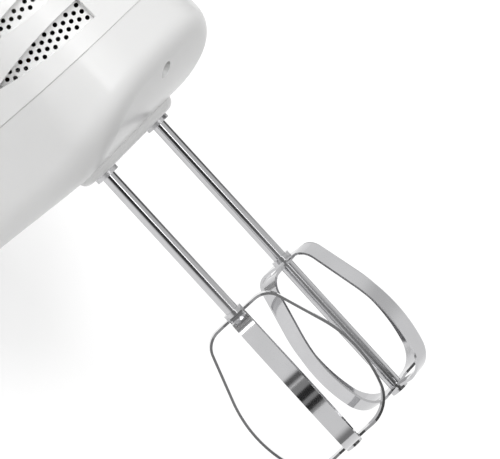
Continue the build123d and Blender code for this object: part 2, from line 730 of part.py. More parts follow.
def ejector_pin(y):
    """Pin in the spindle that rests on the beater's end."""
    with BuildPart() as pin:
        add(upright(0, y, SHAFT_TOP_Z, FORK_Z, PIN_D))
        add(upright(0, y, FORK_Z - PIN_HEAD, FORK_Z, PIN_HEAD_D))
    return pin.part


def fit_rounds(points, rounds):
    """Corner radii of a closed outline, eased where two rounds would not fit on one side."""
    count = len(points)
    tangents = []
    for i in range(count):
        before = Vector(*points[i - 1]) - Vector(*points[i])
        after = Vector(*points[(i + 1) % count]) - Vector(*points[i])
        half = math.radians(before.get_angle(after)) / 2
        tangents.append(1 / math.tan(half))
    eased = []
    for i in range(count):
        share = 1.0
        for j in (i - 1, (i + 1) % count):
            side = (Vector(*points[j]) - Vector(*points[i])).length
            needed = rounds[i] * tangents[i] + rounds[j] * tangents[j]
            share = min(share, 0.98 * side / needed)
        eased.append(rounds[i] * share)
    return eased


def beater_loop(y, phase, nest):
    """Closed loop of flat strip with an eye at each end; the nested one is a little shorter."""
    right = [(SHOULDER_R, -nest), (BELLY_R, -BELLY_DROP), (FOOT_R, nest - LOOP_LENGTH)]
    left = [(-x, z) for x, z in reversed(right)]
    rounds = [SHOULDER_ROUND, BELLY_ROUND, FOOT_ROUND]
    corners = right + left
    along_loop = phase_direction(phase)
    square_to_loop = (along_loop[1], -along_loop[0], 0)
    hub = (0, y, HUB_Z)
    with BuildPart() as loop:
        with BuildSketch(Plane(origin=hub, x_dir=along_loop, z_dir=square_to_loop)):
            with BuildLine():
                FilletPolyline(*corners, radius=fit_rounds(corners, rounds + rounds[::-1]), close=True)
            make_face()
            offset(amount=-STRIP_THICK, mode=Mode.SUBTRACT)
        extrude(amount=STRIP_WIDTH / 2, both=True)
        with BuildSketch(Plane(origin=hub, x_dir=along_loop, z_dir=(0, 0, 1))):
            Circle(EYE_D / 2)
            for sign in (1, -1):
                Polygon(
                    (0, NECK_WIDTH / 2),
                    (sign * NECK_R, NECK_WIDTH / 2),
                    (sign * SPREAD_R, STRIP_WIDTH / 2),
                    (sign * BELLY_R, STRIP_WIDTH / 2),
                    (sign * BELLY_R, -STRIP_WIDTH / 2),
                    (sign * SPREAD_R, -STRIP_WIDTH / 2),
                    (sign * NECK_R, -NECK_WIDTH / 2),
                    (0, -NECK_WIDTH / 2),
                    align=None,
                )
        extrude(amount=-LOOP_LENGTH, mode=Mode.INTERSECT)
        add(upright(0, y, HUB_Z - LOOP_LENGTH, HUB_Z, SHAFT_D), mode=Mode.SUBTRACT)
    return loop.part


def beater_shaft(y, phase):
    """Shaft from the socket to the foot of the loops, with drive lugs, hub and rivet."""
    foot = HUB_Z - LOOP_LENGTH
    with BuildPart() as shaft:
        add(upright(0, y, foot - RIVET_HEIGHT, SHAFT_TOP_Z, SHAFT_D))
        chamfer(shaft.faces().sort_by(Axis.Z)[-1].edges(), SHAFT_D / 8)
        add(upright(0, y, HUB_Z, HUB_Z + HUB_HEIGHT, HUB_D))
        add(upright(0, y, foot - RIVET_HEIGHT, foot, RIVET_D))
        lug_plane = Plane(
            origin=(0, y, LUG_LIFT - PAD_DROP), x_dir=phase_direction(phase), z_dir=(0, 0, 1)
        )
        with BuildSketch(lug_plane):
            Rectangle(LUG_WIDTH, LUG_THICK)
        extrude(amount=LUG_HEIGHT)
    return shaft.part


FACING = {"left": -90.0, "right": 90.0}
for side, y in SIDES.items():
    phase = PHASES[side]
    save(worm_wheel(y, FACING[side]), f"{side}_worm_wheel")
    save(spindle(y, phase), f"{side}_spindle")
    save(bush(y), f"{side}_spindle_bush")
    save(ejector_pin(y), f"{side}_ejector_pin")
    save(beater_shaft(y, phase), f"{side}_beater_shaft")
    save(beater_loop(y, phase, 0.0), f"{side}_beater_outer_loop")
    save(beater_loop(y, phase + 90, STRIP_THICK), f"{side}_beater_inner_loop")

# Gear frame: a bridge over the worm wheels that steadies both spindles
with BuildPart() as gear_frame:
    leg_out = FRAME_LEG_Y + FRAME_LEG
    frame_x = (-FRAME_WIDTH / 2, FRAME_WIDTH / 2)
    add(block(frame_x, (-leg_out, leg_out), (FRAME_Z, FRAME_Z + FRAME_THICK)))
    for sign in (1, -1):
        leg_y = sorted((sign * FRAME_LEG_Y, sign * leg_out))
        add(block(frame_x, leg_y, (FRAME_FOOT_Z, FRAME_Z)))
    for y in SIDES.values():
        hole = upright(0, y, FRAME_Z, FRAME_Z + FRAME_THICK, SPINDLE_D + 2 * RUN_FIT)
        add(hole, mode=Mode.SUBTRACT)
save(gear_frame.part, "gear_frame")

# Motor shaft with its worm, and what turns on it
SHAFT_REAR = REAR_BEARING_X - BEARING_LENGTH / 2 - SHAFT_TAIL
SHAFT_FRONT = FAN_X + FAN_DEPTH / 2 + SHAFT_TAIL
CORE_REAR = CORE_X - CORE_LENGTH / 2
CORE_FRONT = CORE_X + CORE_LENGTH / 2


def polar(radius, degrees):
    """Point of a round section."""
    return (radius * math.cos(math.radians(degrees)), radius * math.sin(math.radians(degrees)))


with BuildPart() as worm_shaft:
    lean = math.tan(math.radians(PRESSURE_ANGLE))
    start_turn = -360 * (WORM_LENGTH / 2) / WORM_LEAD
    thick = AXIAL_PITCH / 2 - TOOTH_PLAY
    tip_r = WORM_PITCH_R + ADDENDUM
    root_r = WORM_PITCH_R - DEDENDUM
    tip_turn = 180 * (thick - 2 * ADDENDUM * lean) / WORM_LEAD
    pitch_turn = 180 * thick / WORM_LEAD
    root_turn = 180 * (thick + 2 * DEDENDUM * lean) / WORM_LEAD
    share = 360 / WORM_STARTS
    with BuildSketch(Plane.YZ.offset(-WORM_LENGTH / 2)) as thread:
        with BuildLine():
            for start in range(WORM_STARTS):
                here = start_turn + start * share
                after = here + share
                ThreePointArc(
                    polar(tip_r, here - tip_turn),
                    polar(tip_r, here),
                    polar(tip_r, here + tip_turn),
                )
                ThreePointArc(
                    polar(tip_r, here + tip_turn),
                    polar(WORM_PITCH_R, here + pitch_turn),
                    polar(root_r, here + root_turn),
                )
                ThreePointArc(
                    polar(root_r, here + root_turn),
                    polar(root_r, here + share / 2),
                    polar(root_r, after - root_turn),
                )
                ThreePointArc(
                    polar(root_r, after - root_turn),
                    polar(WORM_PITCH_R, after - pitch_turn),
                    polar(tip_r, after - tip_turn),
                )
        make_face()
    with BuildLine() as spine:
        Line((-WORM_LENGTH / 2, 0, 0), (WORM_LENGTH / 2, 0, 0))
    twist_line = Helix(
        WORM_LEAD, WORM_LENGTH, tip_r, center=(-WORM_LENGTH / 2, 0, 0), direction=(1, 0, 0), mode=Mode.PRIVATE
    )
    sweep(thread.sketch, path=spine.line, binormal=twist_line)
    add(along((SHAFT_REAR, -WORM_LENGTH / 2), MOTOR_SHAFT_D))
    add(along((WORM_LENGTH / 2, SHAFT_FRONT), MOTOR_SHAFT_D))
save(worm_shaft.part, "worm_shaft")

with BuildPart() as armature_core:
    add(along((CORE_REAR, CORE_FRONT), ARMATURE_D))
    with BuildSketch(Plane.YZ.offset(CORE_REAR)):
        with PolarLocations(ARMATURE_D / 2 - SLOT_DEPTH / 2, SLOTS):
            Rectangle(SLOT_DEPTH, SLOT_WIDTH)
    extrude(amount=CORE_LENGTH, mode=Mode.SUBTRACT)
    add(along((CORE_REAR, CORE_FRONT), MOTOR_SHAFT_D), mode=Mode.SUBTRACT)
save(armature_core.part, "armature_core")

with BuildPart() as armature_windings:
    winding_d = ARMATURE_D - SLOT_DEPTH
    for near, far in ((CORE_FRONT, CORE_FRONT + END_TURN), (CORE_REAR - END_TURN, CORE_REAR)):
        add(along((near, far), winding_d))
    ends = armature_windings.faces().filter_by(Axis.X).sort_by(Axis.X)
    fillet([ends[0].edges()[0], ends[-1].edges()[0]], END_TURN / 2)
    bar = along((CORE_REAR - END_TURN, CORE_FRONT + END_TURN), MOTOR_SHAFT_D)
    add(bar, mode=Mode.SUBTRACT)
save(armature_windings.part, "armature_windings")

with BuildPart() as commutator:
    drum_x = (COMMUTATOR_X - COMMUTATOR_LENGTH / 2, COMMUTATOR_X + COMMUTATOR_LENGTH / 2)
    add(along(drum_x, COMMUTATOR_D))
    add(along(drum_x, MOTOR_SHAFT_D), mode=Mode.SUBTRACT)
save(commutator.part, "commutator")

with BuildPart() as cooling_fan:
    fan_rear = FAN_X - FAN_DEPTH / 2
    add(along((fan_rear, fan_rear + FAN_DEPTH), FAN_HUB_D))
    add(along((fan_rear, fan_rear + FAN_DISC), FAN_D))
    with BuildSketch(Plane.YZ.offset(fan_rear)):
        blade_inner = FAN_HUB_D / 2 - FAN_BLADE
        blade_outer = FAN_D / 2 - FAN_BLADE
        with PolarLocations((blade_inner + blade_outer) / 2, FAN_BLADES):
            Rectangle(blade_outer - blade_inner, FAN_BLADE)
    extrude(amount=FAN_DEPTH)
    add(along((fan_rear, fan_rear + FAN_DEPTH), MOTOR_SHAFT_D), mode=Mode.SUBTRACT)
save(cooling_fan.part, "cooling_fan")

# Stator with two saddle coils
BORE_D = ARMATURE_D + 2 * AIR_GAP
SLOT_OUT = BORE_D / 2 + COIL_DEPTH + 2 * COIL_FIT
with BuildPart() as stator_core:
    with BuildSketch(Plane.YZ.offset(CORE_REAR)):
        RectangleRounded(CORE_WIDTH, CORE_HEIGHT, CORE_ROUND)
        Circle(BORE_D / 2, mode=Mode.SUBTRACT)
        Rectangle(2 * SLOT_OUT, 2 * (COIL_GAP + COIL_HEIGHT + COIL_FIT), mode=Mode.SUBTRACT)
    extrude(amount=CORE_LENGTH)
save(stator_core.part, "stator_core")


def field_coil(sign):
    """Saddle coil: two bars in the slots, arched over the armature at both ends."""
    inside = BORE_D / 2 + COIL_FIT
    outside = inside + COIL_DEPTH
    low = COIL_GAP
    high = COIL_GAP + COIL_HEIGHT
    rear = (CORE_REAR - COIL_FIT - COIL_DEPTH, CORE_REAR - COIL_FIT)
    front = (CORE_FRONT + COIL_FIT, CORE_FRONT + COIL_FIT + COIL_DEPTH)
    with BuildPart() as coil:
        for leg in ((inside, outside), (-outside, -inside)):
            add(block((rear[0], front[1]), leg, sorted((sign * low, sign * high))))
            for end in (rear, front):
                add(block(end, leg, sorted((sign * low, sign * outside))))
        for end in (rear, front):
            add(block(end, (-outside, outside), sorted((sign * inside, sign * outside))))
    return coil.part


save(field_coil(1), "upper_field_coil")
save(field_coil(-1), "lower_field_coil")


# Bearings, brackets and brushes
def bearing(x):
    """Plain bearing of the motor shaft."""
    span = (x - BEARING_LENGTH / 2, x + BEARING_LENGTH / 2)
    with BuildPart() as ring:
        add(along(span, BEARING_D))
        add(along(span, MOTOR_SHAFT_D + 2 * RUN_FIT), mode=Mode.SUBTRACT)
    return ring.part


def bearing_bracket(x):
    """Block on a rib of the lower housing that holds a bearing."""
    span = (x - BEARING_LENGTH / 2, x + BEARING_LENGTH / 2)
    with BuildPart() as bracket:
        with BuildSketch(Plane.YZ.offset(span[0])):
            RectangleRounded(BRACKET_WIDTH, BRACKET_HEIGHT, BRACKET_HEIGHT / 5)
            Circle(BEARING_D / 2, mode=Mode.SUBTRACT)
        extrude(amount=BEARING_LENGTH)
    return bracket.part


for name, x in (("front", FRONT_BEARING_X), ("rear", REAR_BEARING_X)):
    save(bearing(x), f"{name}_bearing")
    save(bearing_bracket(x), f"{name}_bearing_bracket")


def brush_holder(sign):
    """Square tube that guides a brush."""
    span = (COMMUTATOR_X - HOLDER_SIZE / 2, COMMUTATOR_X + HOLDER_SIZE / 2)
    inner = BRUSH_SIZE / 2 + SHAFT_PLAY
    y = sorted((sign * (HOLDER_Y - HOLDER_LENGTH / 2), sign * (HOLDER_Y + HOLDER_LENGTH / 2)))
    with BuildPart() as holder:
        add(block(span, y, (-HOLDER_SIZE / 2, HOLDER_SIZE / 2)))
        hole = block((COMMUTATOR_X - inner, COMMUTATOR_X + inner), y, (-inner, inner))
        add(hole, mode=Mode.SUBTRACT)
    return holder.part


def carbon_brush(sign):
    """Carbon block that runs on the commutator."""
    near = COMMUTATOR_D / 2 + SOFT_FIT
    y = sorted((sign * near, sign * (near + BRUSH_LENGTH)))
    half = BRUSH_SIZE / 2
    return block((COMMUTATOR_X - half, COMMUTATOR_X + half), y, (-half, half))


for side, sign in (("left", 1), ("right", -1)):
    save(brush_holder(sign), f"{side}_brush_holder")
    save(carbon_brush(sign), f"{side}_carbon_brush")
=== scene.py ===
import bmesh
import bpy
from mathutils import Matrix, Vector


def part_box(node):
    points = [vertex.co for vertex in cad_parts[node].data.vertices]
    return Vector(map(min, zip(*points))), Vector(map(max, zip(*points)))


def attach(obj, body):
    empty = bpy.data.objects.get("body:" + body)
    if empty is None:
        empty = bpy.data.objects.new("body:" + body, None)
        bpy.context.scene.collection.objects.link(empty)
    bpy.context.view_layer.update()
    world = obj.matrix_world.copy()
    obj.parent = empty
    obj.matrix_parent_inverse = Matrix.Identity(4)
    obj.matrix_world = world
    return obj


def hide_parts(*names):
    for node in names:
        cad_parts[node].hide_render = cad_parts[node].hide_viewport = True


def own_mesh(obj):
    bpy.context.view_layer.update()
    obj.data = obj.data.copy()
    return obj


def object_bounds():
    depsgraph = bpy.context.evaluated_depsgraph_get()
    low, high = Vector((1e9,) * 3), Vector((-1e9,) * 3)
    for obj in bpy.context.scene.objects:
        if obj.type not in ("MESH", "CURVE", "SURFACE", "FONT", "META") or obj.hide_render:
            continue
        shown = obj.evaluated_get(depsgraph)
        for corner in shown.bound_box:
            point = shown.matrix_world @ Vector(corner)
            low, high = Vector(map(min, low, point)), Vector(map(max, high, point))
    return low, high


bl_info = {
    "name": "Hand Mixer Looks",
    "version": (1, 0, 0),
    "blender": (4, 5, 0),
    "location": "View3D > Sidebar > Mixer",
    "description": "Finishes, grip ribs and studio for a hand mixer standing on its heel",
    "category": "Object",
}

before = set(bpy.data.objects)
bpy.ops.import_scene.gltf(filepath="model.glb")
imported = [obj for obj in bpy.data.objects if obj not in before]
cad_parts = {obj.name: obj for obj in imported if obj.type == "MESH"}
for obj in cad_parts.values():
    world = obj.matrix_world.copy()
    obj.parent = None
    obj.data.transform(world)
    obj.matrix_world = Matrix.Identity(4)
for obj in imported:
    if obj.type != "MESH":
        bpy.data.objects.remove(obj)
CAD_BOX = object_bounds()
MM = 0.001
SIDES = ("left", "right")

# The frame's axes as the mixer stands on its heel: the beaters point forward
FORWARD = Vector((1, 0, 0))
LEFT = Vector((0, 1, 0))
UP = Vector((0, 0, 1))

# The camera of the photograph, in the frame's axes
PHOTO_RIGHT = Vector((0.6716, 0.4797, 0.5647))
PHOTO_UP = Vector((-0.7356, 0.5233, 0.4303))
PHOTO_TOWARD = PHOTO_RIGHT.cross(PHOTO_UP).normalized()
PHOTO_CENTRE = Vector((86.6, 9.28, 144.3)) * MM
PHOTO_WIDTH = 205 * MM
CLIP_NEAR = 0.05
CLIP_FAR = 50

# Sizes that follow the part
SEAM_GAP = 0.5 * MM

# The lip behind the seam: its tint makes it darker than the shell, which is painted shade inside the seam
SEAM_CLEAR = 0.05 * MM
LIP_THICK = 0.8 * MM
LIP_PAINTED_SHADE = 0.9
LIP_DULLER = 0.2

# Vertices of a CAD mesh that lie closer than this are one
MERGE_DISTANCE = 0.001 * MM

# How vent panels and cord inlet differ from the shell and the controls
PANEL_TINT = 0.97
PANEL_DULLER = 0.06
INLET_TINT = 0.8

# Thumb ribs on the controls
RIB_PITCH = 2.6 * MM
RIB_WIDTH = 11 * MM
RIB_THICK = 1.2 * MM
RIB_BEVEL = 0.6  # share of the rib's height
RIB_SEGMENTS = 3
ROUND_PROFILE = 0.5

# Colours of the pieces that the panel doesn't offer
SPINDLE_STEEL = (0.62, 0.62, 0.63)
SHAFT_STEEL = (0.60, 0.60, 0.62)
GEAR_NYLON = (0.74, 0.71, 0.60)
BEARING_BRONZE = (0.55, 0.38, 0.19)
CORE_STEEL = (0.36, 0.37, 0.40)
WINDING_COPPER = (0.60, 0.26, 0.10)
COMMUTATOR_COPPER = (0.66, 0.36, 0.20)
BRUSH_CARBON = (0.03, 0.03, 0.03)
FAN_BLACK = (0.025, 0.025, 0.028)
SWITCH_BLACK = (0.03, 0.03, 0.033)
WHITE = (1, 1, 1, 1)
BLACK = (0, 0, 0, 1)

# Lamps, from the middle of the photo
KEY_OFFSET = PHOTO_UP * 1.6 + PHOTO_TOWARD * 1.45 - PHOTO_RIGHT * 0.5
KEY_SIZE = 1.6
TOP_OFFSET = Vector((-0.2, -0.3, 2.0))
TOP_SIZE = 1.2
FILL_OFFSET = PHOTO_TOWARD * 1.3 - PHOTO_RIGHT * 0.9
FILL_SIZE = 0.7

# Cards that only polished surfaces see
CARD_CORE = 0.25  # share of a card's width that has its plain tone
OVER_SHAFT = PHOTO_TOWARD.cross(FORWARD).normalized()
BEHIND_CAMERA = PHOTO_CENTRE + PHOTO_TOWARD * 2.4
FAR_BEHIND = PHOTO_CENTRE + PHOTO_TOWARD * 2.6
# name, centre, length and width, facing, direction of the width, tone, tone at the rim
CARDS = (
    ("shaft_dark", BEHIND_CAMERA + FORWARD * 0.29, (0.32, 4.4), -PHOTO_TOWARD, OVER_SHAFT, 0.03, 1.0),
    ("strip_dark", BEHIND_CAMERA + FORWARD * 0.76, (0.27, 3.0), -PHOTO_TOWARD, OVER_SHAFT, 0.03, 1.0),
    ("camera_grey", FAR_BEHIND + FORWARD * 0.3, (1.7, 3.6), -PHOTO_TOWARD, OVER_SHAFT, 0.34, 1.0),
    ("ceiling_flag", (0.45, 0.06, 1.4), (1.2, 0.4), -UP, FORWARD, 0.03, 0.75),
    ("ceiling_grey", (0.1, 0.6, 1.5), (2.0, 1.3), -UP, FORWARD, 0.75, 1.0),
    ("front_flag", (-0.5, -1.6, 0.24), (3.0, 0.45), LEFT, FORWARD, 0.1, 1.0),
    ("rear_flag", (0.1, 1.6, 0.26), (3.0, 0.45), -LEFT, FORWARD, 0.1, 1.0),
    ("rear_grey", (0.1, 2.0, 0.9), (3.0, 0.8), -LEFT, FORWARD, 0.4, 1.0),
    ("beater_grey", (2.0, 0.0, 0.7), (1.3, 2.6), -FORWARD, LEFT, 0.3, 1.0),
    ("handle_grey", (-2.0, 0.0, 0.7), (1.3, 2.6), FORWARD, LEFT, 0.3, 1.0),
)

# Floor
FLOOR_REACH = 6.0
FLOOR_DROP = 0.0002
SHADOW_FADE = 1.8  # the near shadow has faded at this many times its reach

# Sockets of the colour mix node
MIX_DARK = 6
MIX_LIGHT = 7
MIX_RESULT = 2


class Value:
    """A socket in shader maths: plain operators add Math nodes."""

    def __init__(self, finish, socket):
        self.finish = finish
        self.socket = socket

    def _math(self, operation, first, second):
        node = self.finish.node("ShaderNodeMath", {"operation": operation}, {0: first, 1: second})
        return node.value()

    def __add__(self, other):
        return self._math("ADD", self, other)

    def __radd__(self, other):
        return self._math("ADD", other, self)

    def __mul__(self, other):
        return self._math("MULTIPLY", self, other)

    def __rmul__(self, other):
        return self._math("MULTIPLY", other, self)

    def __pow__(self, other):
        return self._math("POWER", self, other)


class Made:
    """A node that a finish has added."""

    def __init__(self, finish, node):
        self.finish = finish
        self.node = node

    def value(self, output=0):
        return Value(self.finish, self.node.outputs[output])


class Finish:
    """One procedural material, built from Object coordinates."""

    def __init__(self, name):
        self.material = bpy.data.materials.new(name)
        self.material.use_nodes = True
        self.tree = self.material.node_tree
        self.shader = self.tree.nodes["Principled BSDF"]

    def node(self, kind, settings=None, inputs=None):
        """Add a node, its settings first and then the values or links of its sockets."""
        node = self.tree.nodes.new(kind)
        for key, setting in (settings or {}).items():
            setattr(node, key, setting)
        for key, given in (inputs or {}).items():
            self.feed(node.inputs[key], given)
        return Made(self, node)

    def feed(self, socket, given):
        if isinstance(given, Value):
            self.tree.links.new(given.socket, socket)
        else:
            socket.default_value = given

    def set(self, socket, given):
        self.feed(self.shader.inputs[socket], given)

    def place(self, scale=(1, 1, 1)):
        """Object coordinates, stretched along an axis where the scale is small."""
        coordinates = self.node("ShaderNodeTexCoord").value("Object")
        return self.node("ShaderNodeMapping", None, {"Vector": coordinates, "Scale": scale}).value()

    def noise(self, scale, detail=3.0, stretch=(1, 1, 1)):
        """Soft random field from 0 to 1."""
        inputs = {"Vector": self.place(stretch), "Scale": scale, "Detail": detail}
        return self.node("ShaderNodeTexNoise", None, inputs).value("Fac")

    def bands(self, scale, direction, distortion=0.0):
        """Even stripes along an axis, from 0 to 1."""
        settings = {"wave_type": "BANDS", "bands_direction": direction}
        inputs = {"Vector": self.place(), "Scale": scale, "Distortion": distortion}
        return self.node("ShaderNodeTexWave", settings, inputs).value("Fac")

    def fade(self, value, start, end, low=0.0, high=1.0):
        """Smooth step from low to high as the value goes from start to end."""
        inputs = {"Value": value, "From Min": start, "From Max": end, "To Min": low, "To Max": high}
        return self.node("ShaderNodeMapRange", {"interpolation_type": "SMOOTHSTEP"}, inputs).value()

    def mix(self, mask, dark, light):
        """Colour between two others, by a mask."""
        inputs = {"Factor": mask, MIX_DARK: (*dark, 1.0), MIX_LIGHT: (*light, 1.0)}
        return self.node("ShaderNodeMix", {"data_type": "RGBA"}, inputs).value(MIX_RESULT)

    def shade(self, mask, colour, low, high=1.0):
        """Base colour between two tints of one colour, by a mask."""
        self.set("Base Color", self.mix(mask, tint(colour, low), tint(colour, high)))

    def roughen(self, least, *parts):
        """Roughness from its least value and the share that each mask adds."""
        roughness = least
        for share, mask in parts:
            roughness = roughness + share * mask
        self.set("Roughness", roughness)

    def bump(self, height, strength, distance):
        inputs = {"Height": height, "Strength": strength, "Distance": distance}
        self.set("Normal", self.node("ShaderNodeBump", None, inputs).value())


def tint(colour, factor):
    return tuple(min(1.0, channel * factor) for channel in colour)


def moulded_plastic(name, colour, gloss, grain=0.05):
    """Moulded plastic: slight flow marks in the gloss and a fine skin."""
    finish = Finish(name)
    flow = finish.noise(scale=18, detail=2.0)
    skin = finish.noise(scale=900, detail=3.0)
    finish.shade(flow, colour, low=0.975, high=1.01)
    finish.roughen(gloss, (0.10, flow))
    finish.bump(skin, strength=grain, distance=0.05 * MM)
    finish.set("Coat Weight", 0.25)
    finish.set("Coat Roughness", 0.08)
    return finish.material


def polished_chrome(name, colour):
    """Plated wire and strip: long drawing marks under the plating and faint water spots."""
    finish = Finish(name)
    drawn = finish.noise(scale=420, detail=4.0, stretch=(0.05, 1, 1))
    spots = finish.noise(scale=90, detail=2.0)
    finish.set("Metallic", 1.0)
    finish.shade(spots, colour, low=0.93, high=1.04)
    finish.roughen(0.07, (0.10, drawn * spots))
    finish.bump(drawn, strength=0.08, distance=0.05 * MM)
    return finish.material


def turned_steel(name, colour, direction):
    """Turned or ground steel with fine tool rings along one axis."""
    finish = Finish(name)
    rings = finish.bands(scale=900, direction=direction, distortion=1.5)
    oil = finish.noise(scale=60, detail=3.0)
    finish.set("Metallic", 1.0)
    finish.shade(oil, colour, low=0.82)
    finish.roughen(0.24, (0.14, rings), (0.10, oil))
    finish.bump(rings, strength=0.15, distance=0.04 * MM)
    return finish.material


def laminated_core(name, colour):
    """Stacked sheet steel: a line at each sheet's edge."""
    finish = Finish(name)
    sheets = finish.bands(scale=320, direction="Z")
    varnish = finish.noise(scale=40, detail=3.0)
    finish.set("Metallic", 0.85)
    finish.shade(sheets ** 2.0, colour, low=0.45)
    finish.roughen(0.35, (0.2, varnish))
    finish.bump(sheets, strength=0.5, distance=0.15 * MM)
    return finish.material


def wound_copper(name, colour):
    """Enamelled wire laid side by side."""
    finish = Finish(name)
    wires = finish.bands(scale=260, direction="DIAGONAL", distortion=0.6)
    patches = finish.noise(scale=55, detail=2.0)
    finish.set("Metallic", 0.8)
    finish.shade(wires * patches, colour, low=0.5, high=1.1)
    finish.roughen(0.28, (0.15, patches))
    finish.bump(wires, strength=0.8, distance=0.3 * MM)
    return finish.material


def porous_metal(name, colour):
    """Sintered bearing metal with oil in its pores."""
    finish = Finish(name)
    pores = finish.noise(scale=1400, detail=5.0)
    finish.set("Metallic", 0.9)
    finish.shade(pores, colour, low=0.6, high=1.1)
    finish.roughen(0.35, (0.2, pores))
    finish.bump(pores, strength=0.3, distance=0.1 * MM)
    return finish.material


def pressed_carbon(name, colour):
    """Pressed carbon: dull with a graphite glint."""
    finish = Finish(name)
    grit = finish.noise(scale=2200, detail=4.0)
    finish.shade(grit, colour, low=0.5, high=1.8)
    finish.roughen(0.5, (0.25, grit))
    finish.bump(grit, strength=0.4, distance=0.1 * MM)
    return finish.material


def paint(material, nodes):
    """Give CAD nodes one material."""
    for name in nodes:
        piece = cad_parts[name]
        if not piece.material_slots:
            piece.data.materials.append(material)
        for slot in piece.material_slots:
            slot.material = material


def both(name):
    return [f"{side}_{name}" for side in SIDES]


def make_object(name, shape):
    """Turn a bmesh into a linked object."""
    mesh = bpy.data.meshes.new(name)
    shape.to_mesh(mesh)
    shape.free()
    made = bpy.data.objects.new(name, mesh)
    bpy.context.collection.objects.link(made)
    return made


def mesh_piece(name, shape, material, body):
    """Turn a bmesh into a piece that rides on a body."""
    bmesh.ops.recalc_face_normals(shape, faces=shape.faces)
    piece = make_object(name, shape)
    piece.data.materials.append(material)
    piece.data.shade_smooth()
    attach(piece, body)
    return piece


def node_shape(node):
    """Copy of a CAD node's mesh with its faces joined."""
    shape = bmesh.new()
    shape.from_mesh(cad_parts[node].data)
    bmesh.ops.remove_doubles(shape, verts=shape.verts, dist=MERGE_DISTANCE)
    return shape


def ribs(node, count, proud):
    """Rounded thumb ribs across the outer face of a control."""
    low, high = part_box(node)
    middle = (Vector(low) + Vector(high)) / 2
    size = Matrix.Diagonal((2 * proud, RIB_WIDTH, RIB_THICK, 1))
    shape = bmesh.new()
    for index in range(count):
        step = (index - (count - 1) / 2) * RIB_PITCH
        place = Matrix.Translation((low[0], middle.y, middle.z + step))
        made = bmesh.ops.create_cube(shape, size=1.0, matrix=place @ size)
        edges = {edge for vertex in made["verts"] for edge in vertex.link_edges}
        bmesh.ops.bevel(
            shape, geom=list(edges), offset=proud * RIB_BEVEL, offset_type="OFFSET",
            segments=RIB_SEGMENTS, profile=ROUND_PROFILE, affect="EDGES", material=-1,
        )
    return shape


def island(shape, seed):
    """Vertices joined to a first one by edges."""
    found = {seed}
    waiting = [seed]
    while waiting:
        for edge in waiting.pop().link_edges:
            for vertex in edge.verts:
                if vertex not in found:
                    found.add(vertex)
                    waiting.append(vertex)
    return found


def seam_band(node, low, high, inset, drop):
    """Lip behind the seam: a band of the shell's outer skin, drawn in, lowered and thickened."""
    shape = node_shape(node)
    for place, normal in ((low, FORWARD), (high, -FORWARD)):
        geom = [*shape.verts, *shape.edges, *shape.faces]
        bmesh.ops.bisect_plane(
            shape, geom=geom, plane_co=(place, 0, 0), plane_no=normal, clear_outer=True,
        )
    skin = island(shape, max(shape.verts, key=lambda vertex: vertex.co.y))
    inner = [vertex for vertex in shape.verts if vertex not in skin]
    bmesh.ops.delete(shape, geom=inner, context="VERTS")
    corner_low, corner_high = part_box(node)
    middle = (Vector(corner_low) + Vector(corner_high)) / 2
    half = (Vector(corner_high) - Vector(corner_low)) / 2
    drawn_in = Vector((1, 1 - inset / half.y, 1 - inset / half.z))
    bmesh.ops.scale(shape, verts=shape.verts, vec=drawn_in, space=Matrix.Translation(-middle))
    bmesh.ops.translate(shape, verts=shape.verts, vec=(drop, 0, 0))
    bmesh.ops.solidify(shape, geom=list(shape.faces), thickness=LIP_THICK)
    return shape


class MixerLooks(bpy.types.PropertyGroup):
    """Colours and small sizes that a user would change."""

    shell_colour: bpy.props.FloatVectorProperty(
        name="Shell", description="Colour of the moulded body and handle", subtype="COLOR", size=3,
        default=(0.86, 0.86, 0.855), min=0, max=1,
    )
    control_colour: bpy.props.FloatVectorProperty(
        name="Controls", description="Colour of the eject button and speed slider", subtype="COLOR", size=3,
        default=(0.42, 0.43, 0.44), min=0, max=1,
    )
    chrome_colour: bpy.props.FloatVectorProperty(
        name="Plating", description="Colour of the plated beaters", subtype="COLOR", size=3,
        default=(0.55, 0.55, 0.56), min=0, max=1,
    )
    shell_gloss: bpy.props.FloatProperty(
        name="Shell roughness", description="Lowest roughness of the shell", default=0.26, min=0, max=1,
        subtype="FACTOR",
    )
    seam_depth: bpy.props.FloatProperty(
        name="Seam depth", description="How far the lip lies behind the shell", default=0.3 * MM, min=0,
        unit="LENGTH",
    )
    rib_proud: bpy.props.FloatProperty(
        name="Rib height", description="How far the thumb ribs stand out", default=0.7 * MM, min=0,
        unit="LENGTH",
    )
    rib_count: bpy.props.IntProperty(
        name="Ribs", description="Thumb ribs on each control", default=5, min=1, max=9,
    )


